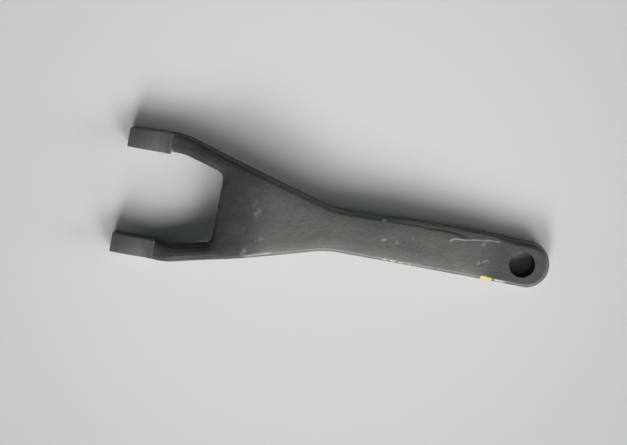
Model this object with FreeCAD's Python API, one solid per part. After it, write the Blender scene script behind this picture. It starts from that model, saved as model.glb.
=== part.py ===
"""Shift fork of the clutch release kind: one steel drop forging, from a rod eye to two tines.

Units are millimetres. The lever lies as it rests, on the eye and on both pads. X runs from the
fork's tips (negative) to the eye's end (positive), Y runs across the fork, and Z is up. The origin
is the centre of the eye's bore at half the eye's thickness. While the solid is made, Z is the
height above the surface that the lever lies on, and the last step lowers it by half the eye.
"""
import FreeCAD, Part
import math
import os

# Lever as a whole
reach = 297.0            # bore centre to the tips of the fork
edge_round = 3.0         # rounding of the forged edges

# Eye that takes the rod
bore_radius = 9.4
bore_chamfer = 0.6
eye_radius = 17.2        # rounded end of the lever
eye_offset = 3.9         # how far the end's centre lies beyond the bore
eye_flat = 22.0          # flat length of the eye's faces behind the bore
eye_thickness = 16.0

# Arm between the eye and the fork
waist_half = 15.7        # half width where the arm is narrowest
waist_from_tips = 155.0
waist_blend = 70.0       # radius where the arm widens into the fork

# Crank, a shallow bend across the widest part of the lever, where it is thickest
bend_from_tips = 89.0
bend_thickness = 26.5
bend_rise = 5.0          # underside of the bend above the surface
bend_blend = 60.0

# Fork
gap_depth = 72.0         # tips to the bridge between the tines
gap_corner = 7.0         # radius of the two inner corners
bridge_half = 25.6       # half width of the gap where it meets the bridge
tine_inner = 33.4        # from the middle line to a tine's inner side
tine_outer = 47.8
tine_straight = 42.0     # tips to where the tines begin to close in
tine_blend = 45.0        # radius of that turn on the outer side
inner_blend = 30.0       # and on the inner side
tine_thickness = 15.0    # at the pads

# Pads, machined on both tips
pad_gap = 64.4           # clear width between the two pads
pad_width = 13.4
pad_length = 31.5
pad_thickness = 18.0     # at the crest of the rolling face
pad_overlap = 1.5        # how far the rounded tine runs on inside the pad
pad_crest_radius = 50.0
pad_crest_from_tip = 11.0
pad_flank_angle = 12.0   # slope of the rolling face at the tip, and down to the tine
tine_sink = 2.0          # how far the tine's top lies below the crest where they meet
valley_blend = 16.0

# Pivot seat under the bend
seat_from_tips = 97.0
boss_radius = 15.0
boss_rise = 3.5          # face of the boss above the surface
seat_radius = 10.5
seat_depth = 6.0

above_all = 100.0        # longer than any section, for the prisms that are cut to shape
rim_turn = 0.5           # least change of upward slope over an edge between a wall and a face


def rounded_chain(corners):
    """Edges through corners (x, y, radius): straight runs, and a tangent arc where a radius is."""
    points = [FreeCAD.Vector(x, y, 0) for x, y, radius in corners]
    edges = []
    start = points[0]
    for before, corner, after, size in zip(points, points[1:], points[2:], corners[1:-1]):
        radius = size[2]
        if radius == 0:
            edges.append(Part.LineSegment(start, corner).toShape())
            start = corner
            continue
        back = (before - corner).normalize()
        ahead = (after - corner).normalize()
        half_turn = back.getAngle(ahead) / 2
        middle = (back + ahead).normalize()
        tangent = radius / math.tan(half_turn)
        arc_start = corner + back * tangent
        arc_end = corner + ahead * tangent
        arc_middle = corner + middle * (radius / math.sin(half_turn) - radius)
        edges.append(Part.LineSegment(start, arc_start).toShape())
        edges.append(Part.Arc(arc_start, arc_middle, arc_end).toShape())
        start = arc_end
    edges.append(Part.LineSegment(start, points[-1]).toShape())
    return edges


def closed_face(edges):
    return Part.Face(Part.Wire(Part.__sortEdges__(edges)))


def plan_prism():
    """The forging seen from above, as an upright prism: arm, tines, bridge and rounded end."""
    waist = FreeCAD.Vector(waist_from_tips - reach, waist_half, 0)
    end_centre = FreeCAD.Vector(eye_offset, 0, 0)
    to_waist = waist - end_centre
    turn = math.acos(eye_radius / to_waist.Length)
    touch_angle = math.atan2(to_waist.y, to_waist.x) - turn
    touch_x = eye_offset + eye_radius * math.cos(touch_angle)
    touch_y = eye_radius * math.sin(touch_angle)
    shoulder_x = tine_straight - reach
    bridge_x = gap_depth - reach
    tine_end = pad_length - pad_overlap - reach
    half = [
        (touch_x, touch_y, 0),
        (waist.x, waist.y, waist_blend),
        (shoulder_x, tine_outer, tine_blend),
        (tine_end, tine_outer, 0),
        (tine_end, tine_inner, 0),
        (shoulder_x, tine_inner, inner_blend),
        (bridge_x, bridge_half, gap_corner),
    ]
    other_half = [(x, -y, radius) for x, y, radius in reversed(half)]
    edges = rounded_chain(half + other_half)
    upper = FreeCAD.Vector(touch_x, touch_y, 0)
    lower = FreeCAD.Vector(touch_x, -touch_y, 0)
    far = FreeCAD.Vector(eye_offset + eye_radius, 0, 0)
    edges.append(Part.Arc(upper, far, lower).toShape())
    return closed_face(edges).extrude(FreeCAD.Vector(0, 0, above_all))


def side_prism(top, bottom):
    """Prism across the whole width, from the corners (x, z, radius) of its top and its bottom."""
    edges = rounded_chain(top) + rounded_chain(bottom)
    for first, second in ((top[-1], bottom[0]), (bottom[-1], top[0])):
        start = FreeCAD.Vector(first[0], first[1], 0)
        edges.append(Part.LineSegment(start, FreeCAD.Vector(second[0], second[1], 0)).toShape())
    profile = closed_face(edges)
    profile.rotate(FreeCAD.Vector(0, 0, 0), FreeCAD.Vector(1, 0, 0), 90)
    profile.translate(FreeCAD.Vector(0, above_all / 2, 0))
    return profile.extrude(FreeCAD.Vector(0, -above_all, 0))


def lever_top():
    """Corners of the upper side, from the eye over the bend to the tips."""
    bend_x = bend_from_tips - reach
    crest_x = pad_crest_from_tip - reach
    slope = math.radians(pad_flank_angle)
    crest_peak = pad_thickness + pad_crest_radius * (1 / math.cos(slope) - 1)
    valley_z = pad_thickness - tine_sink
    valley_x = crest_x + (crest_peak - valley_z) / math.tan(slope)
    return [
        (eye_offset + eye_radius, eye_thickness, 0),
        (-eye_flat, eye_thickness, bend_blend),
        (bend_x, bend_rise + bend_thickness, bend_blend),
        (valley_x, valley_z, valley_blend),
        (crest_x, crest_peak, pad_crest_radius),
        (-reach, crest_peak - pad_crest_from_tip * math.tan(slope), 0),
    ]


def lever_bottom():
    """Corners of the underside, from the tines' ends inside the pads to the eye."""
    tine_z = pad_thickness - tine_sink - tine_thickness
    root_x = pad_length - reach
    return [
        (-reach, tine_z, 0),
        (root_x, tine_z, bend_blend),
        (bend_from_tips - reach, bend_rise, bend_blend),
        (-eye_flat, 0, bend_blend),
        (eye_offset + eye_radius, 0, 0),
    ]


def face_normal(face, point):
    u, v = face.Surface.parameter(point)
    return face.normalAt(u, v)


def forging():
    """Arm and tines: the plan and the side view crossed, with every long edge rounded."""
    blank = plan_prism().common(side_prism(lever_top(), lever_bottom()))
    rims = []
    for edge in blank.Edges:
        middle = edge.valueAt((edge.FirstParameter + edge.LastParameter) / 2)
        first, second = [face_normal(face, middle) for face in blank.ancestorsOfType(edge, Part.Face)]
        wall_to_face = abs(abs(first.z) - abs(second.z)) > rim_turn
        if wall_to_face:
            rims.append(edge)
    return blank.makeFillet(edge_round, rims)


def pads():
    """The two sharp-edged pads, each with its rolling face on top and a flat underside."""
    table = [(-reach, 0, 0), (eye_offset, 0, 0)]
    side = side_prism(lever_top(), table)
    found = []
    for hand in (1, -1):
        middle_y = hand * (pad_gap + pad_width) / 2
        block = Part.makeBox(pad_length, pad_width, above_all)
        block.translate(FreeCAD.Vector(-reach, middle_y - pad_width / 2, 0))
        found.append(block.common(side))
    return found


def pivot_boss():
    """Round boss under the bend, before its seat is cut."""
    boss = Part.makeCylinder(boss_radius, bend_rise + bend_thickness / 2 - boss_rise)
    boss.translate(FreeCAD.Vector(seat_from_tips - reach, 0, boss_rise))
    return boss


def pivot_seat():
    """Ball that cuts the seat into the face of the boss."""
    ball = Part.makeSphere(seat_radius)
    ball.translate(FreeCAD.Vector(seat_from_tips - reach, 0, boss_rise + seat_depth - seat_radius))
    return ball


def eye_bore():
    """Drill with a chamfer at both faces of the eye."""
    drill = Part.makeCylinder(bore_radius, eye_thickness)
    wide = bore_radius + bore_chamfer
    lower = Part.makeCone(wide, bore_radius, bore_chamfer)
    upper = Part.makeCone(bore_radius, wide, bore_chamfer)
    upper.translate(FreeCAD.Vector(0, 0, eye_thickness - bore_chamfer))
    return drill.fuse([lower, upper])


def shift_fork():
    whole = forging().fuse(pads() + [pivot_boss()])
    whole = whole.cut(pivot_seat()).cut(eye_bore()).removeSplitter()
    whole.translate(FreeCAD.Vector(0, 0, -eye_thickness / 2))
    return whole.Solids[0]


os.makedirs("parts", exist_ok=True)
shift_fork().exportStep("parts/shift_fork.step")
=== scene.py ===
"""Shift fork: a drop-forged clutch release lever with an eye, two tines and machined pads.

Everything is in metres, in the frame of the CAD model: X runs from the fork's tips (negative) to
the eye, Y across the fork, Z up, and the origin is the centre of the eye's bore. Shapes are worked
out in millimetres, and new_piece turns them into metres.
"""
import bpy
import bmesh
import numpy as np
from mathutils import Matrix, Vector


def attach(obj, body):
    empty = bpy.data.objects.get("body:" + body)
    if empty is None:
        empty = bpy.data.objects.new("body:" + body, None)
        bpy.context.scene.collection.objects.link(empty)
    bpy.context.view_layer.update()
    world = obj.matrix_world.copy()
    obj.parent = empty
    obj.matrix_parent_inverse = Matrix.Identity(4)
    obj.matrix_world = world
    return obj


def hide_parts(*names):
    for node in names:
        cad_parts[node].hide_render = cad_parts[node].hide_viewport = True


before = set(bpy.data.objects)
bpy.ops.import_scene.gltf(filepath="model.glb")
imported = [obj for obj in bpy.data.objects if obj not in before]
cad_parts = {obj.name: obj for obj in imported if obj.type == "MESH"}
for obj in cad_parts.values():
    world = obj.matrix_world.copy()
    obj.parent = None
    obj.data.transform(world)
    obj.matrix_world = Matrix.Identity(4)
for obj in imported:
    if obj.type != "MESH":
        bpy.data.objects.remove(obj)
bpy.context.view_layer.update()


# The lever: one drop forging in medium carbon steel. The dies close along the middle of its side
# walls, so the walls lean a little, every edge is rounded, and a trimmed line of flash runs round
# it. Eye, arm, shallow bend, bridge and both tines are one skin.
MM = 0.001
REACH = 297.0            # bore centre to the tips
HALF_EYE = 8.0           # the surface that the lever lies on is this far below the bore's centre
EYE_RADIUS, EYE_OFFSET = 17.2, 3.9
BORE_RADIUS = 9.4
BORE_RIM = 9.75          # outer edge of the bore's chamfer
WAIST_X, WAIST_HALF = -142.0, 15.7
SHOULDER_X = -255.0      # where a tine begins to close in towards the bridge
TINE_OUTER, TINE_INNER = 47.8, 33.4
BRIDGE_X, BRIDGE_HALF = -225.0, 25.6
NOSE_X, NOSE_RADIUS = -273.0, 6.0     # rounded end of a tine, inside its pad
SPINE_END = -267.0       # where the skin closes inside a pad
BRANCH_X = -200.0        # where the middle line of the arm parts into those of the tines
EDGE_ROUND = 3.0         # rounding of the forged edges
SKIN_INSET = 0.3         # the walls lie this far inside the flash line
WALL_LEAN = 0.07         # inward lean of the walls, as a slope
CROWN = 0.45             # how far the upper face falls off towards its edges
TOP_CLEARANCE = 0.01     # keeps the upper side just inside the solid
PAD_CLEARANCE = 0.09     # keeps a tine's top just below the pad that it runs into
BORE_STEPS, ARM_STEPS, TINE_STEPS, NOSE_STEPS = 76, 320, 120, 30     # columns over half the skin


def rounded_line(corners, arc_points=40):
    """Points along straight runs through corners (a, b, radius), with a tangent arc at each corner.

    An arc's centre lies on the corner's bisector at radius / sin(half the angle), and its points
    turn about that centre in equal steps from one tangent point to the other.
    """
    points = np.array([corner[:2] for corner in corners], float)
    found = [points[:1]]
    for before, corner, after, (a, b, radius) in zip(points, points[1:], points[2:], corners[1:-1]):
        back = (before - corner) / np.linalg.norm(before - corner)
        ahead = (after - corner) / np.linalg.norm(after - corner)
        half = np.arccos(back @ ahead) / 2
        centre = corner + (back + ahead) / np.linalg.norm(back + ahead) * radius / np.sin(half)
        spoke = corner + back * radius / np.tan(half) - centre
        across = np.array([-spoke[1], spoke[0]])
        turn = -np.sign(across @ back) * np.linspace(0, np.pi - 2 * half, arc_points)
        found.append(centre + np.cos(turn)[:, None] * spoke + np.sin(turn)[:, None] * across)
    found.append(points[-1:])
    return np.concatenate(found)


def lengths(points):
    """Distance run along a line of points, from its first point to each of them."""
    return np.concatenate([[0], np.cumsum(np.linalg.norm(np.diff(points, axis=0), axis=1))])


def at_lengths(points, run):
    """Points of a line at the given distances along it, by straight interpolation."""
    known = lengths(points)
    return np.stack([np.interp(run, known, points[:, k]) for k in range(points.shape[1])], axis=1)


def evenly(points, count=12000):
    """The same line with many points, all the same distance apart."""
    return at_lengths(points, np.linspace(0, lengths(points)[-1], count))


# Corners (x, height above the surface, radius) of the upper side and of the underside.
TOP_LINE = rounded_line([
    (21.2, 16.0, 0), (-22.0, 16.0, 60.0), (-208.0, 31.5, 60.0), (-271.8, 16.0, 16.0),
    (-286.0, 19.117, 50.0), (-REACH, 16.779, 0)])[::-1] - [0, HALF_EYE + TOP_CLEARANCE]
UNDER_LINE = rounded_line([
    (21.2, 0.0, 0), (-22.0, 0.0, 60.0), (-208.0, 5.0, 60.0), (-265.5, 1.0, 60.0),
    (-REACH, 1.0, 0)])[::-1] - [0, HALF_EYE]


def top_height(x):
    """Height of the upper side at x: eye flat, slope up to the bend, and down to the pads."""
    return np.interp(x, TOP_LINE[:, 0], TOP_LINE[:, 1])


def under_height(x):
    """Height of the underside at x: flat at the eye and the tines, a little higher at the bend."""
    return np.interp(x, UNDER_LINE[:, 0], UNDER_LINE[:, 1])


def smooth_step(value, low, high):
    """0 below low, 1 above high, and the cubic 3t^2 - 2t^3 in between."""
    t = np.clip((value - low) / (high - low), 0, 1)
    return t * t * (3 - 2 * t)


def wobble(run, wavelength, seed):
    """Uneven wave between about -1 and 1: three sines of unlike wavelengths, added up."""
    turns = 2 * np.pi * run / wavelength
    return (np.sin(turns + seed) + 0.6 * np.sin(1.73 * turns + 2.1 * seed)
            + 0.4 * np.sin(2.91 * turns + 3.7 * seed)) / 2


def near_line(x, y, points):
    """Distance from (x, y) to a broken line: the least of the distances to its straight runs."""
    points = np.array(points, float)
    nearest = np.full(np.shape(x), np.inf)
    for (x0, y0), (x1, y1) in zip(points, points[1:]):
        span = (x1 - x0) ** 2 + (y1 - y0) ** 2
        t = np.clip(((x - x0) * (x1 - x0) + (y - y0) * (y1 - y0)) / span, 0, 1)
        nearest = np.minimum(nearest, np.hypot(x - x0 - t * (x1 - x0), y - y0 - t * (y1 - y0)))
    return nearest


def half_outline():
    """The parting line on the +Y side, from the eye's end round one tine to the bridge's middle."""
    waist = np.array([WAIST_X, WAIST_HALF])
    to_waist = waist - [EYE_OFFSET, 0]
    touch = np.arctan2(to_waist[1], to_waist[0]) - np.arccos(EYE_RADIUS / np.hypot(*to_waist))
    swing = np.linspace(0, touch, 120)
    end = np.stack([EYE_OFFSET + EYE_RADIUS * np.cos(swing), EYE_RADIUS * np.sin(swing)], axis=1)
    outer = rounded_line([
        (*end[-1], 0), (*waist, 70.0), (SHOULDER_X, TINE_OUTER, 45.0),
        (NOSE_X, TINE_OUTER, NOSE_RADIUS), (NOSE_X, TINE_INNER, NOSE_RADIUS),
        (SHOULDER_X, TINE_INNER, 30.0), (BRIDGE_X, BRIDGE_HALF, 7.0), (BRIDGE_X, 0.0, 0)])
    return evenly(np.concatenate([end[:-1], outer]))


def half_spine():
    """The line that the skin closes on: round the bore, along the arm and out along a tine."""
    swing = np.linspace(0, np.pi, 90)
    rim = np.stack([BORE_RIM * np.cos(swing), BORE_RIM * np.sin(swing)], axis=1)
    branch = rounded_line([
        (-BORE_RIM, 0, 0), (BRANCH_X, 0, 0), (-221.0, 29.5, 8.0), (-240.0, 36.2, 20.0),
        (-256.0, 40.2, 20.0), (SPINE_END, 40.2, 0)])
    return evenly(np.concatenate([rim[:-1], branch]))


def length_at(points, x, first=0):
    """Distance along a line where it comes nearest to x, looked for from point number first on."""
    step = first + int(np.argmin(np.abs(points[first:, 0] - x)))
    return lengths(points)[step]


def skin_stations():
    """Pairs of points, one on the outline and one on the spine, all round the lever.

    The spine is walked in even steps. Each step's partner on the outline comes from a few matched
    places, with even spacing in between. The -Y half mirrors the +Y half.
    """
    outline, spine = half_outline(), half_spine()
    outline_length, spine_length = lengths(outline)[-1], lengths(spine)[-1]
    bore_half = np.pi * BORE_RIM
    branch = bore_half - BRANCH_X - BORE_RIM
    steps = np.concatenate([
        np.linspace(0, bore_half, BORE_STEPS, endpoint=False),
        np.linspace(bore_half, branch, ARM_STEPS, endpoint=False),
        np.linspace(branch, spine_length, TINE_STEPS)])
    middle_line = at_lengths(spine, steps)
    # Both ends of the arm's stretch lie on Y = 0 exactly, so that the two halves meet there.
    middle_line[BORE_STEPS] = [-BORE_RIM, 0]
    middle_line[-TINE_STEPS] = [BRANCH_X, 0]

    # Matched lengths along the spine and the outline, up to the outer side of the tine.
    outer = outline[:int(np.argmin(outline[:, 0])) + 1]
    matched = [(0, 0), (bore_half / 2, length_at(outer, 2.5)), (bore_half, length_at(outer, -15))]
    for spine_x, outer_x in ((-40, -42), (-190, -187), (-210, -204), (-221, -217), (-240, -238)):
        matched.append((length_at(spine, spine_x), length_at(outer, outer_x)))
    matched.append((spine_length, length_at(outer, SPINE_END)))
    outer_match = np.interp(steps, *np.transpose(matched))

    # The same for the tine's inner side, counted back from the bridge's middle.
    inner_first = int(np.nonzero(outline[:, 1] > TINE_INNER + 0.6)[0][-1])
    matched = [(branch, outline_length)]
    for spine_x, from_middle in ((-210, 12.0), (-218, 20.5), (-225, 29.5)):
        matched.append((length_at(spine, spine_x), outline_length - from_middle))
    matched.append((length_at(spine, -240), length_at(outline, -240, inner_first)))
    matched.append((spine_length, length_at(outline, SPINE_END, inner_first)))
    inner_match = np.interp(steps[-TINE_STEPS:], *np.transpose(matched))[::-1]

    nose_run = np.linspace(outer_match[-1], inner_match[0], NOSE_STEPS)[1:-1]
    edge = at_lengths(outline, np.concatenate([outer_match, nose_run, inner_match]))
    spine_of = np.concatenate([
        middle_line, np.repeat(middle_line[-1:], len(nose_run), axis=0),
        middle_line[:-TINE_STEPS - 1:-1]])
    mirror = np.array([1, -1])
    edge = np.concatenate([edge, (edge * mirror)[-2:0:-1]])
    spine_of = np.concatenate([spine_of, (spine_of * mirror)[-2:0:-1]])
    return edge, spine_of


def inward(edge):
    """Unit normals of the closed outline, turned inwards: the tangent turned left."""
    tangent = np.roll(edge, -1, axis=0) - np.roll(edge, 1, axis=0)
    tangent /= np.linalg.norm(tangent, axis=1)[:, None]
    return np.stack([-tangent[:, 1], tangent[:, 0]], axis=1)


def uneven_edge(edge, normal):
    """The outline moved out where the arm bulges beside the fold, and in where one tine is slimmer.

    Each move is along the normal, and fades in and out with smooth steps of X and Y.
    """
    bulge = smooth_step(edge[:, 0], -112, -84) * (1 - smooth_step(edge[:, 0], -34, -6))
    edge = edge - normal * (1.5 * bulge * (edge[:, 1] > 0))[:, None]
    slim = smooth_step(-edge[:, 0], 150, 250) * smooth_step(-edge[:, 1], 20, 40)
    return edge + normal * (1.2 * slim * (normal[:, 1] > 0))[:, None]


def upper_rounding(x, y, facing):
    """Radius of the upper edge: larger on the eye's +Y side, smaller beside the fold and at the pads.

    On the lever's -Y side it also grows a little where the outline slants. facing is the inward
    normal's Y, which is about 1 along the arm's -Y edge.
    """
    eye_share = smooth_step(x, -14, -2)
    beside_fold = smooth_step(x, -110, -96) * (1 - smooth_step(x, -26, -14)) * (y > 0)
    slant = smooth_step(facing, 0.6, 0.95) * (1 - smooth_step(facing, 0.6, 1.0))
    slant = slant * (y < 0) * smooth_step(x, -215, -190)
    at_pad = 1 - smooth_step(x, -266, -246)
    return (EDGE_ROUND + (0.7 + 0.05 * y) * eye_share - 1.7 * beside_fold
            + 1.2 * slant * (1 - eye_share) - 1.9 * at_pad)


def face_rows(start, spine, height, crown, near, far):
    """Rows from a rim at start to the spine: first in even millimetres, then in even shares.

    The face falls off towards the rim by crown times the square of the nearness to it.
    """
    way = spine - start
    length = np.maximum(np.linalg.norm(way, axis=1), 1e-9)
    fine = np.minimum(8.0, 0.7 * length) / length
    shares = [fine * k / near for k in range(1, near + 1)]
    shares += [fine + (1 - fine) * k / far for k in range(1, far + 1)]
    found = []
    for share in shares:
        place = start + way * share[:, None]
        nearness = 1 - np.minimum(share / fine, 1)
        found.append(np.column_stack([place, height(place[:, 0]) - crown * nearness ** 2]))
    return found


# Lines on the upper face near the arm's +Y edge: a raised lap, and the fold beside it.
LAP = [(-55.5, 7.6), (-54.6, 8.9), (-52.2, 10.2), (-48.3, 10.5), (-43.8, 10.7), (-37.5, 12.0),
       (-32.3, 12.6), (-27.3, 13.3), (-19.8, 13.6)]
FOLD = [(-104.0, 13.7), (-98.0, 13.5), (-93.5, 13.9), (-87.0, 13.7), (-80.6, 14.4), (-76.0, 13.6),
        (-71.5, 13.4), (-65.0, 14.1), (-59.5, 14.0), (-52.7, 13.6), (-47.0, 12.6), (-43.6, 12.3)]


def stroke(x, y, points, width):
    """A mark along a broken line: 1 on it, falling off as exp(-(distance / width)^2)."""
    return np.exp(-(near_line(x, y, points) / width) ** 2)


def beyond_fold(x, y):
    """How far (x, y) lies past the fold, towards the +Y edge."""
    fold_x, fold_y = np.transpose(FOLD)
    return y - np.interp(x, fold_x, fold_y)


def upper_relief(x, y):
    """Height added to the upper face: the lap's ridge, the fold's groove, and a drop past it."""
    ridge = stroke(x, y, LAP, 0.42 + 0.12 * wobble(x, 5.0, 3.0))
    groove = stroke(x, y, FOLD, 0.55)
    along = smooth_step(x, -106, -96) * (1 - smooth_step(x, -50, -42))
    return 0.3 * ridge - 0.15 * groove - 0.5 * smooth_step(beyond_fold(x, y), 0.0, 0.7) * along


def lever_skin():
    """Points of the lever's skin, rows from the top spine over the walls to the lower spine.

    A row is a step inwards from the outline plus a drop from the nearer face: a quarter circle at
    each edge, leaning walls between, and a raised band at the parting line. Further in, a row is a
    mix of the inset outline and the spine, and lies on the face's own height line. The second
    array is 1 on the upper face and the upper half of its rounding, and 0 elsewhere.
    """
    edge, spine = skin_stations()
    normal = inward(edge)
    edge = uneven_edge(edge, normal)
    run = lengths(np.concatenate([edge, edge[:1]]))[:-1]
    edge_x, edge_y = edge.T
    half_wall = (top_height(edge_x) - under_height(edge_x)) / 2
    middle = (top_height(edge_x) + under_height(edge_x)) / 2
    crown = CROWN * (1 - smooth_step(edge_x, -40, -16))
    rounding = upper_rounding(edge_x, edge_y, normal[:, 1])
    flash = SKIN_INSET * (0.75 + 0.25 * wobble(run, 9.0, 1.0))
    band = 0.8 + 0.25 * wobble(run, 14.0, 2.0)
    rows = []

    def add_row(inset, level, away):
        """The outline moved in by inset, and away from the top, the underside or the middle."""
        place = edge + normal * inset[:, None]
        if level == "top":
            z = top_height(place[:, 0]) - crown - away
        elif level == "under":
            z = under_height(place[:, 0]) + away
        else:
            z = middle + away
        rows.append(np.column_stack([place, z]))

    def wall_inset(drop):
        """How far the leaning wall lies inside the outline at a drop from its nearer face."""
        return SKIN_INSET + WALL_LEAN * (half_wall - drop)

    quarter = np.linspace(0, np.pi / 2, 9)
    for angle in quarter:
        add_row(wall_inset(rounding) + rounding * (1 - np.sin(angle)), "top",
                rounding * (1 - np.cos(angle)))
    for share in (0.25, 0.5, 0.75):
        drop = rounding + share * (half_wall - band - rounding)
        add_row(wall_inset(drop), "top", drop)
    for offset, proud in ((1.0, 0.0), (0.8, 1.0), (0.0, 1.0), (-0.8, 1.0), (-1.0, 0.0)):
        add_row(SKIN_INSET - proud * flash, "middle", offset * band)
    for share in (0.7, 0.35):
        drop = EDGE_ROUND + share * (half_wall - band - EDGE_ROUND)
        add_row(wall_inset(drop), "under", drop)
    for angle in quarter[::-1]:
        add_row(wall_inset(EDGE_ROUND) + EDGE_ROUND * (1 - np.sin(angle)), "under",
                EDGE_ROUND * (1 - np.cos(angle)))

    upper = face_rows(rows[0][:, :2], spine, top_height, crown, 16, 7)
    lower = face_rows(rows[-1][:, :2], spine, under_height, 0.0, 3, 5)
    grid = np.stack(upper[::-1] + rows + lower)
    on_top = np.zeros(grid.shape[:2])
    on_top[:len(upper) + len(quarter) // 2 + 1] = 1
    in_pad = 1 - smooth_step(grid[..., 0], -266.2, -265.6)
    grid[..., 2] += on_top * (upper_relief(grid[..., 0], grid[..., 1]) - PAD_CLEARANCE * in_pad)
    return grid, on_top


def bore_wall(grid):
    """The bore's skin: the top rim, a chamfer, a straight wall, a chamfer and the lower rim.

    Each row repeats the spine's points on the bore, moved in to its own radius. The first and the
    last row are the skin's own rims, so that nothing is open there.
    """
    around = np.arange(-BORE_STEPS, BORE_STEPS + 1)
    rim = grid[0, around, :2]
    chamfer = [(9.62, 7.93), (9.45, 7.72), (BORE_RADIUS, 7.4)]
    section = chamfer + [(BORE_RADIUS, 0.0)] + [(radius, -z) for radius, z in chamfer[::-1]]
    rows = [grid[0, around]]
    for radius, z in section:
        rows.append(np.column_stack([rim * radius / BORE_RIM, np.full(len(rim), z)]))
    return np.stack(rows + [grid[-1, around]])


def bared_steel(x, y, on_top):
    """Steel rubbed bright: along the lap and the torn edge, in spots, and on the -Y edge."""
    hook = 0.3 * np.exp(-((x + 51.5) / 3.0) ** 2)
    marks = [(0.3 + hook + 0.2 * wobble(x, 9, 2)) * stroke(x, y, LAP, 0.6)]
    spots = [(-105.8, 14.3, -104.6, 14.7, 0.9, 0.8), (-103.7, -0.4, -101.6, 0.7, 0.7, 0.5),
             (-93.3, -0.9, -92.6, -0.3, 0.8, 0.3), (-82.0, 4.4, -81.4, 4.8, 0.7, 0.25),
             (-31.0, 9.2, -29.6, 10.0, 0.9, 0.35), (-31.8, -5.2, -30.7, -4.3, 0.9, 0.4),
             (-28.3, -3.4, -25.9, -1.9, 0.7, 0.3), (-25.9, -1.9, -24.2, -2.7, 0.5, 0.2),
             (-196.8, 2.4, -194.9, 5.0, 1.3, 0.2), (-199.4, 9.0, -197.8, 11.8, 0.8, 0.12),
             (-190.9, -14.6, -188.9, -13.3, 1.0, 0.2), (-201.3, -27.6, -200.6, -24.8, 1.6, 0.2),
             (-265.4, 34.2, -264.4, 35.0, 0.8, 0.5), (-266.9, 35.8, -265.9, 36.2, 0.6, 0.4)]
    for x0, y0, x1, y1, width, strength in spots:
        marks.append(strength * stroke(x, y, [(x0, y0), (x1, y1)], width))
    marks.append(0.35 * stroke(x, y, [(-199, -29.0), (-189, -25.4), (-182, -23.3)], 0.9))
    ragged = smooth_step(wobble(x, 6.0, 5.0), -0.5, 0.3)
    marks.append(0.9 * ragged * stroke(x, y, [(-101, -14.4), (-90, -14.8), (-77, -15.3)], 0.9))
    marks.append(stroke(x, y, [(-16.4, -15.2), (-10.4, -15.7)], 0.8))
    torn = stroke(x, y, [(-104, 13.0), (-93, 13.2), (-80, 13.7), (-72, 12.8)], 0.5)
    torn = 0.22 * torn * (0.6 + 0.4 * wobble(x, 4, 2))
    return np.maximum(np.max(marks, axis=0) * on_top, torn)


def paint_dab(x, y, z):
    """A dab of paint on the -Y edge: within a ragged distance of a short line, and high up."""
    away = near_line(x, y, [(-26.2, -15.2), (-23.6, -15.6), (-21.2, -15.8)])
    paint = smooth_step(-away / (2.0 + 0.4 * wobble(x, 3.0, 1.0)), -1.1, -0.75)
    return paint * smooth_step(z + 0.5 * wobble(x, 4.0, 2.0), 3.6, 5.0)


def scale_wear_and_painted_sheen(x, y):
    """Warm grey share, mostly painted sheen: most on the arm, some at the pads, little on the fork.
    """
    # Painted sheen: the arm is lighter where its face catches the light that the fork's sloping face
    # misses, and lighter towards -Y, the side that faces the light.
    arm = smooth_step(x, -208, -176)
    # The scale's own uneven tone.
    uneven = 0.12 * wobble(x, 60, 4.0) * wobble(y + 40, 30, 2.0)
    # The last term is a painted highlight on the tine just behind the pads.
    return 0.05 + arm * (0.64 - 0.012 * y) + uneven + 0.3 * (1 - smooth_step(x, -266, -255))


def cut_face(x, y, on_top):
    """Where the surface is cut and not forged: the eye's upper face and the strip past the fold."""
    strip = smooth_step(beyond_fold(x, y), 0.3, 1.2) * (y > 10)
    strip = strip * smooth_step(x, -106, -96) * (1 - smooth_step(x, -12, 4))
    return np.maximum(smooth_step(x, -40, -14) * on_top, 0.9 * strip)


def lever_marks(grid, on_top):
    """Strength of each mark at every point of the skin, by the name that the material reads."""
    x, y, z = grid[..., 0], grid[..., 1], grid[..., 2]
    # Painted shade: a dark line along the fold's groove, darker towards the eye's end.
    painted_fold_shade = (0.3 + 0.3 * smooth_step(x, -66, -56)) * stroke(x, y, FOLD, 0.6) * on_top
    return {"bare_steel": bared_steel(x, y, on_top), "painted_fold_shade": painted_fold_shade,
            "paint_dab": paint_dab(x, y, z), "scale_wear_and_painted_sheen": scale_wear_and_painted_sheen(x, y),
            "cut_face": cut_face(x, y, on_top)}


def grid_faces(rows, columns, closed=True):
    """Quads of a grid, with row 0 on top and columns running anticlockwise seen from above."""
    row, column = np.meshgrid(np.arange(rows - 1), np.arange(columns - (not closed)), indexing="ij")
    beside = (column + 1) % columns
    quads = [row * columns + column, (row + 1) * columns + column,
             (row + 1) * columns + beside, row * columns + beside]
    return np.stack(quads, axis=-1).reshape(-1, 4)


def new_piece(name, points, faces, smooth=True):
    """Mesh object from points in millimetres and quads."""
    mesh = bpy.data.meshes.new(name)
    mesh.from_pydata((points * MM).tolist(), [], faces.tolist())
    mesh.polygons.foreach_set("use_smooth", np.full(len(mesh.polygons), smooth))
    mesh.update()
    piece = bpy.data.objects.new(name, mesh)
    bpy.context.collection.objects.link(piece)
    return piece


def close_seams(piece, distance=4e-6):
    """Merges the points that lie on each other, so that seams and poles are closed."""
    work = bmesh.new()
    work.from_mesh(piece.data)
    bmesh.ops.remove_doubles(work, verts=work.verts, dist=distance)
    bmesh.ops.dissolve_degenerate(work, edges=work.edges, dist=distance / 4)
    work.to_mesh(piece.data)
    work.free()


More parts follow.
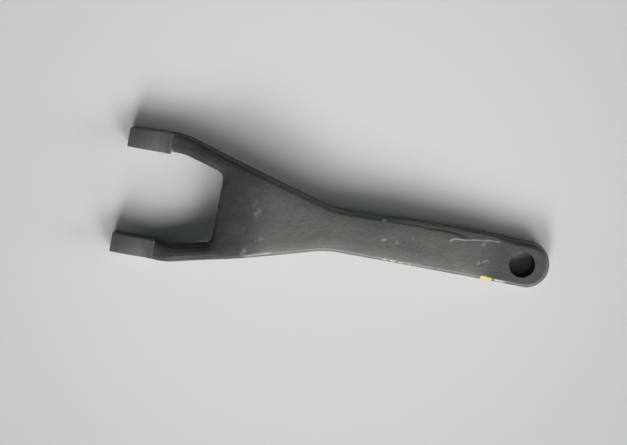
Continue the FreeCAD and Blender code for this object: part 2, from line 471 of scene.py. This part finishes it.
skin, skin_on_top = lever_skin()
wall = bore_wall(skin)
skin_points, wall_points = skin.reshape(-1, 3), wall.reshape(-1, 3)
wall_faces = grid_faces(*wall.shape[:2], closed=False)[:, ::-1] + len(skin_points)
lever = new_piece(
    "lever_forging",
    np.concatenate([skin_points, wall_points]),
    np.concatenate([grid_faces(*skin.shape[:2]), wall_faces]))
for mark_name, strengths in lever_marks(skin, skin_on_top).items():
    mark = lever.data.attributes.new(mark_name, "FLOAT", "POINT")
    mark.data.foreach_set("value", np.append(strengths, np.zeros(len(wall_points))))
close_seams(lever)


def feed(tree, socket, value):
    """Gives an input its value: a link from another socket, a plain colour, or a number."""
    if isinstance(value, bpy.types.NodeSocket):
        tree.links.new(value, socket)
    elif isinstance(value, tuple):
        socket.default_value = (*value, 1)
    else:
        socket.default_value = value


def maths(tree, operation, first, second):
    """One Math node of two values. Each is a socket or a number."""
    node = tree.nodes.new("ShaderNodeMath")
    node.operation = operation
    feed(tree, node.inputs[0], first)
    feed(tree, node.inputs[1], second)
    return node.outputs[0]


def spread(tree, value, low, high, interpolation="LINEAR"):
    """Value from low to high as a 0 to 1 mask: a Map Range node."""
    node = tree.nodes.new("ShaderNodeMapRange")
    node.interpolation_type = interpolation
    node.inputs["From Min"].default_value = low
    node.inputs["From Max"].default_value = high
    tree.links.new(value, node.inputs["Value"])
    return node.outputs["Result"]


def noise_mask(tree, coordinates, scale, detail, low, high):
    """Noise between low and high as a 0 to 1 mask: Noise Texture, then Map Range."""
    noise = tree.nodes.new("ShaderNodeTexNoise")
    feed(tree, noise.inputs["Scale"], scale)
    noise.inputs["Detail"].default_value = detail
    noise.inputs["Roughness"].default_value = 0.62
    tree.links.new(coordinates, noise.inputs["Vector"])
    return spread(tree, noise.outputs["Fac"], low, high)


def mix_colours(tree, factor, first, second):
    """Colour between first and second. Each is a socket or a plain colour."""
    mix = tree.nodes.new("ShaderNodeMix")
    mix.data_type = "RGBA"
    for name, value in (("A", first), ("B", second)):
        feed(tree, [s for s in mix.inputs if s.name == name and s.type == "RGBA"][0], value)
    tree.links.new(factor, mix.inputs[0])
    return [s for s in mix.outputs if s.type == "RGBA"][0]


def scale_skin_group():
    """Mill scale on forged steel: broad patches, a fine grain, pits, and the height for a bump."""
    tree = bpy.data.node_groups.new("forged_scale", "ShaderNodeTree")
    face = tree.interface
    face.new_socket("Patch Size", in_out="INPUT", socket_type="NodeSocketFloat").default_value = 60
    face.new_socket("Grain Size", in_out="INPUT", socket_type="NodeSocketFloat").default_value = 900
    for name in ("Patches", "Grain", "Pits", "Height"):
        face.new_socket(name, in_out="OUTPUT", socket_type="NodeSocketFloat")
    given = tree.nodes.new("NodeGroupInput").outputs
    result = tree.nodes.new("NodeGroupOutput").inputs
    place = tree.nodes.new("ShaderNodeTexCoord").outputs["Object"]
    patches = noise_mask(tree, place, given["Patch Size"], 5, 0.36, 0.66)
    grain = noise_mask(tree, place, given["Grain Size"], 3, 0.3, 0.7)
    cells = tree.nodes.new("ShaderNodeTexVoronoi")
    cells.inputs["Scale"].default_value = 330
    tree.links.new(place, cells.inputs["Vector"])
    sparse = noise_mask(tree, place, 140, 2, 0.5, 0.62)
    pits = maths(tree, "MULTIPLY", spread(tree, cells.outputs["Distance"], 0.28, 0.08), sparse)
    coarse = noise_mask(tree, place, 330, 4, 0.2, 0.8)
    height = maths(tree, "ADD", maths(tree, "MULTIPLY", grain, 0.35), coarse)
    height = maths(tree, "SUBTRACT", height, maths(tree, "MULTIPLY", pits, 0.9))
    height = maths(tree, "ADD", height, maths(tree, "MULTIPLY", patches, 0.8))
    for name, value in (("Patches", patches), ("Grain", grain), ("Pits", pits), ("Height", height)):
        tree.links.new(value, result[name])
    return tree


def new_material(name):
    """Empty node material. Gives the material, its node tree and its Principled BSDF."""
    material = bpy.data.materials.new(name)
    material.use_nodes = True
    return material, material.node_tree, material.node_tree.nodes["Principled BSDF"]


def mark_value(tree, name):
    """Strength of a named mark, from the piece's own attribute."""
    node = tree.nodes.new("ShaderNodeAttribute")
    node.attribute_name = name
    return node.outputs["Fac"]


def add_bump(tree, shader, height, strength, distance):
    """Bump node that turns a height into the shader's normal. The distance is in metres."""
    bump = tree.nodes.new("ShaderNodeBump")
    bump.inputs["Strength"].default_value = strength
    bump.inputs["Distance"].default_value = distance
    tree.links.new(height, bump.inputs["Height"])
    tree.links.new(bump.outputs["Normal"], shader.inputs["Normal"])


def forged_steel():
    """Dull dark scale, a warm grey that is mostly painted sheen and partly worn scale, with bared
    steel, painted shade along the fold, and paint.
    """
    material, tree, shader = new_material("forged_steel_scale")
    group = tree.nodes.new("ShaderNodeGroup")
    group.node_tree = scale_skin_group()
    group.inputs["Patch Size"].default_value = 55
    group.inputs["Grain Size"].default_value = 850
    scale = group.outputs
    patchy = maths(tree, "MULTIPLY", maths(tree, "SUBTRACT", scale["Patches"], 0.5), 0.22)
    speckle = maths(tree, "MULTIPLY", maths(tree, "SUBTRACT", scale["Grain"], 0.5), 0.2)
    uneven = maths(tree, "ADD", patchy, speckle)
    # Painted sheen: the warm grey share is mostly painted light on the arm and behind the pads, and
    # partly the scale's own uneven tone.
    wear_and_painted_sheen = maths(tree, "ADD", mark_value(tree, "scale_wear_and_painted_sheen"), uneven)
    colour = mix_colours(tree, wear_and_painted_sheen, (0.046, 0.0475, 0.048), (0.152, 0.151, 0.139))
    cut = maths(tree, "MULTIPLY", mark_value(tree, "cut_face"), 0.85)
    colour = mix_colours(tree, cut, colour, (0.074, 0.081, 0.081))
    pitted = maths(tree, "MULTIPLY", scale["Pits"], 0.6)
    colour = mix_colours(tree, pitted, colour, (0.035, 0.034, 0.033))
    broken = maths(tree, "ADD", maths(tree, "MULTIPLY", scale["Grain"], 0.7), 0.6)
    bare = maths(tree, "MULTIPLY", mark_value(tree, "bare_steel"), broken)
    colour = mix_colours(tree, bare, colour, (0.5, 0.495, 0.475))
    # Painted shade: a near-black line along the fold.
    colour = mix_colours(tree, mark_value(tree, "painted_fold_shade"), colour, (0.02, 0.02, 0.021))
    paint = mark_value(tree, "paint_dab")
    colour = mix_colours(tree, paint, colour, (0.6, 0.5, 0.12))
    tree.links.new(colour, shader.inputs["Base Color"])
    metal = maths(tree, "SUBTRACT", 0.4, maths(tree, "MULTIPLY", paint, 0.4))
    tree.links.new(metal, shader.inputs["Metallic"])
    roughness = maths(tree, "SUBTRACT", 0.58, maths(tree, "MULTIPLY", wear_and_painted_sheen, 0.12))
    tree.links.new(roughness, shader.inputs["Roughness"])
    add_bump(tree, shader, scale["Height"], 0.55, 0.00022)
    return material


forged = forged_steel()
lever.data.materials.append(forged)
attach(lever, "root")
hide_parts("shift_fork")


# The two pads: the tips of the tines, milled square with crisp edges, each with a rolling face on
# top that presses on the release bearing. Milling has left fine lines across them.
PAD_LENGTH, PAD_WIDTH, PAD_GAP = 31.5, 13.4, 64.4
PAD_BEVEL = 0.3
PAD_FLARE = 1.5          # how far the +Y pad spreads outwards at its tip


def pad_block(hand):
    """One pad as rings round its length: a bevelled rectangle in Y and Z, drawn at each x.

    The ring's top follows the rolling face's height at x, and its bottom is flat. The three rings
    at each end lie in one plane and shrink by inset: a small bevel, a flat rim and the middle.
    """
    root = PAD_LENGTH - REACH
    length = np.linspace(-REACH + PAD_BEVEL, root - PAD_BEVEL, 90)
    x = np.concatenate([[-REACH] * 3, length, [root] * 3])
    inset = np.concatenate([[PAD_WIDTH, 2 * PAD_BEVEL, PAD_BEVEL], np.zeros(len(length)),
                            [PAD_BEVEL, 2 * PAD_BEVEL, PAD_WIDTH]])[:, None]
    low, high = np.full(len(x), -HALF_EYE), top_height(x)
    corner = np.linspace(0, np.pi / 2, 5)
    sides, heights = [], []
    for turn, (y_side, z_side) in enumerate(((1, 1), (-1, 1), (-1, -1), (1, -1))):
        angle = corner + turn * np.pi / 2
        face = high if z_side > 0 else low
        side = y_side * (PAD_WIDTH / 2 - PAD_BEVEL) + PAD_BEVEL * np.cos(angle)
        sides.append(np.repeat(side[None], len(x), axis=0))
        heights.append(face[:, None] - z_side * PAD_BEVEL + PAD_BEVEL * np.sin(angle))
    y, z = np.concatenate(sides, axis=1), np.concatenate(heights, axis=1)
    flare = PAD_FLARE * smooth_step(x, -REACH, -272.0) * (hand > 0)
    y = np.where(y > 0, y + flare[:, None], y)
    y = np.sign(y) * np.maximum(np.abs(y) - inset, 0)
    centre = ((low + high) / 2)[:, None]
    z = centre + np.sign(z - centre) * np.maximum(np.abs(z - centre) - inset, 0)
    middle = hand * (PAD_GAP + PAD_WIDTH) / 2
    points = np.stack([np.repeat(x[:, None], y.shape[1], axis=1), middle + y, z], axis=-1)
    return points[::-1]


def milled_steel():
    """Cut steel gone dull: bluish grey with stains and fine milling lines across the pad.

    Past the rolling face's valley the pad is rough, as it was forged, and lighter with a painted
    highlight of the valley.
    """
    material, tree, shader = new_material("milled_steel")
    place = tree.nodes.new("ShaderNodeTexCoord").outputs["Object"]
    stretch = tree.nodes.new("ShaderNodeMapping")
    stretch.inputs["Scale"].default_value = (1.0, 0.06, 0.5)
    tree.links.new(place, stretch.inputs["Vector"])
    lines = noise_mask(tree, stretch.outputs["Vector"], 1400, 3, 0.3, 0.7)
    stains = noise_mask(tree, place, 110, 4, 0.35, 0.7)
    colour = mix_colours(tree, lines, (0.098, 0.104, 0.112), (0.13, 0.137, 0.146))
    stained = maths(tree, "MULTIPLY", stains, 0.5)
    colour = mix_colours(tree, stained, colour, (0.08, 0.083, 0.087))
    along = tree.nodes.new("ShaderNodeSeparateXYZ")
    tree.links.new(place, along.inputs["Vector"])
    # Painted highlight: from the valley on, the pad is lighter, partly its forged finish and partly
    # the light that the valley catches.
    past_valley = spread(tree, along.outputs["X"], -0.2735, -0.2712, "SMOOTHSTEP")
    rougher = noise_mask(tree, place, 420, 4, 0.3, 0.7)
    forged_end_and_painted_highlight = mix_colours(tree, rougher, (0.115, 0.115, 0.113), (0.18, 0.178, 0.172))
    colour = mix_colours(tree, past_valley, colour, forged_end_and_painted_highlight)
    tree.links.new(colour, shader.inputs["Base Color"])
    shader.inputs["Metallic"].default_value = 0.4
    roughness = maths(tree, "ADD", 0.4, maths(tree, "MULTIPLY", stains, 0.08))
    tree.links.new(roughness, shader.inputs["Roughness"])
    add_bump(tree, shader, lines, 0.3, 0.00005)
    return material


milled = milled_steel()
for hand, pad_name in ((1, "pad_plus_y"), (-1, "pad_minus_y")):
    block = pad_block(hand)
    pad = new_piece(pad_name, block.reshape(-1, 3), grid_faces(*block.shape[:2]))
    close_seams(pad)
    pad.data.materials.append(milled)
    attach(pad, "root")
    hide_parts("shift_fork")


# The pivot boss: a round boss forged under the bend, with a ball-shaped seat milled into its face.
# The lever turns there on a ball stud.
SEAT_X = -200.0
BOSS_RADIUS, BOSS_ROUND = 15.0, 0.8
BOSS_FACE = -4.5         # height of the boss's face
BALL_RADIUS, SEAT_DEPTH = 10.5, 6.0


def boss_skin():
    """The boss turned about its axis: radius and height along its section, times the full circle.

    The section runs down the flared flank, over a rounded edge, across the face and up the ball.
    """
    flank = np.array([[17.2, -1.6], [16.1, -2.6], [15.4, -3.1], [BOSS_RADIUS, -3.5]])
    swing = np.linspace(0, np.pi / 2, 6)
    edge = np.stack([BOSS_RADIUS - BOSS_ROUND + BOSS_ROUND * np.cos(swing),
                     BOSS_FACE + BOSS_ROUND - BOSS_ROUND * np.sin(swing)], axis=1)
    mouth = np.sqrt(BALL_RADIUS ** 2 - (BALL_RADIUS - SEAT_DEPTH) ** 2)
    lip = np.array([[mouth + 0.35, BOSS_FACE], [mouth, BOSS_FACE + 0.3]])
    ball_swing = np.linspace(np.arcsin(mouth / BALL_RADIUS) * 0.985, 0, 20)
    ball_centre = BOSS_FACE + SEAT_DEPTH - BALL_RADIUS
    ball = np.stack([BALL_RADIUS * np.sin(ball_swing),
                     ball_centre + BALL_RADIUS * np.cos(ball_swing)], axis=1)
    section = np.concatenate([flank, edge, lip, ball])
    around = np.linspace(0, 2 * np.pi, 128, endpoint=False)
    radius, z = section[:, :1], section[:, 1:]
    return np.stack([SEAT_X + radius * np.cos(around), radius * np.sin(around),
                     np.repeat(z, len(around), axis=1)], axis=-1)


boss_grid = boss_skin()
boss = new_piece("pivot_boss", boss_grid.reshape(-1, 3), grid_faces(*boss_grid.shape[:2]))
close_seams(boss)
boss.data.materials.append(forged)
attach(boss, "root")
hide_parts("shift_fork")


# The table: a plain pale sheet, large enough to fill the view. It isn't part of the object.
def pale_table():
    """Flat grid at the height that the lever lies on."""
    across = np.linspace(-1500, 1500, 3)
    x, y = np.meshgrid(across, across, indexing="xy")
    points = np.stack([x, y, np.full(x.shape, -HALF_EYE)], axis=-1).reshape(-1, 3)
    return new_piece("table", points, grid_faces(3, 3, closed=False)[:, ::-1], smooth=False)


def pale_paper():
    """Matt paper with a painted falloff of light: lightest round the lever and a little darker away
    from it.
    """
    material, tree, shader = new_material("pale_paper")
    away = tree.nodes.new("ShaderNodeVectorMath")
    away.operation = "DISTANCE"
    away.inputs[1].default_value = (-0.1544, 0.0, 0.0)
    tree.links.new(tree.nodes.new("ShaderNodeTexCoord").outputs["Object"], away.inputs[0])
    # Painted falloff of light: the paper's colour darkens away from the lever.
    painted_falloff = spread(tree, away.outputs["Value"], 0.08, 0.36, "SMOOTHSTEP")
    colour = mix_colours(tree, painted_falloff, (0.70, 0.705, 0.72), (0.585, 0.595, 0.605))
    tree.links.new(colour, shader.inputs["Base Color"])
    shader.inputs["Roughness"].default_value = 0.9
    shader.inputs["Specular IOR Level"].default_value = 0.1
    return material


table = pale_table()
table.data.materials.append(pale_paper())


# The light: broad soft lamps on the -Y side and towards +X, as from a row of windows, with weak
# ones from -X and overhead, in a dim room.
def aim(thing, towards):
    """Turns a lamp so that it shines along the direction towards."""
    thing.rotation_euler = Vector(towards).to_track_quat("-Z", "Y").to_euler()


def window_lamp(name, energy, bearing, height, angle):
    """Sun lamp from a bearing, in degrees from -Y towards +X, and a height above the table."""
    lamp = bpy.data.objects.new(name, bpy.data.lights.new(name, "SUN"))
    lamp.data.energy = energy
    lamp.data.angle = angle
    lamp.data.color = (1.0, 0.99, 0.98)
    bpy.context.collection.objects.link(lamp)
    level, up = np.cos(np.radians(height)), np.sin(np.radians(height))
    turn = np.radians(bearing)
    aim(lamp, (-level * np.sin(turn), level * np.cos(turn), -up))


def dim_room():
    """World of a dark green grey, a little lighter towards +X."""
    room = bpy.data.worlds.new("room")
    room.use_nodes = True
    tree = room.node_tree
    parts = tree.nodes.new("ShaderNodeSeparateXYZ")
    tree.links.new(tree.nodes.new("ShaderNodeTexCoord").outputs["Generated"], parts.inputs["Vector"])
    side = spread(tree, parts.outputs["X"], -0.6, 0.5)
    colour = mix_colours(tree, side, (0.017, 0.03, 0.027), (0.022, 0.037, 0.034))
    tree.links.new(colour, tree.nodes["Background"].inputs["Color"])
    return room


window_lamp("key_low", energy=1.70, bearing=0, height=30, angle=0.42)
window_lamp("key_high", energy=0.74, bearing=0, height=42, angle=0.5)
window_lamp("key_right", energy=1.36, bearing=45, height=42, angle=0.5)
window_lamp("right_low", energy=0.44, bearing=45, height=17, angle=0.5)
window_lamp("far_right", energy=1.2, bearing=90, height=17, angle=0.55)
window_lamp("left_fill", energy=0.2, bearing=-80, height=30, angle=0.8)
overhead = bpy.data.objects.new("overhead_light", bpy.data.lights.new("overhead_light", "AREA"))
overhead.data.shape = "DISK"
overhead.data.size = 0.9
overhead.data.energy = 0.45
overhead.location = (0.33, -0.26, 1.83)
bpy.context.collection.objects.link(overhead)
aim(overhead, (-0.48, 0.26, -1.83))
bpy.context.scene.world = dim_room()


# The camera: 22 degrees wide, about 1.2 m above the table and 8 degrees off straight down.
def place_camera():
    """Camera from its position and its own right, up and back directions."""
    right = np.array([0.9827, 0.1850, 0.0])
    up = np.array([-0.1832, 0.9732, -0.1392])
    right /= np.linalg.norm(right)
    up -= right * (up @ right)
    up /= np.linalg.norm(up)
    turn = np.eye(4)
    turn[:3, 0], turn[:3, 1], turn[:3, 2] = right, up, np.cross(right, up)
    turn[:3, 3] = (-0.1850, 0.1624, 1.1665)
    camera = bpy.data.objects.new("camera", bpy.data.cameras.new("camera"))
    camera.data.sensor_fit = "HORIZONTAL"
    camera.data.angle = np.radians(22.0)
    camera.data.clip_start = 0.01
    camera.matrix_world = Matrix(turn.tolist())
    bpy.context.collection.objects.link(camera)
    return camera


bpy.context.scene.camera = place_camera()
bpy.context.scene.view_settings.view_transform = "Standard"
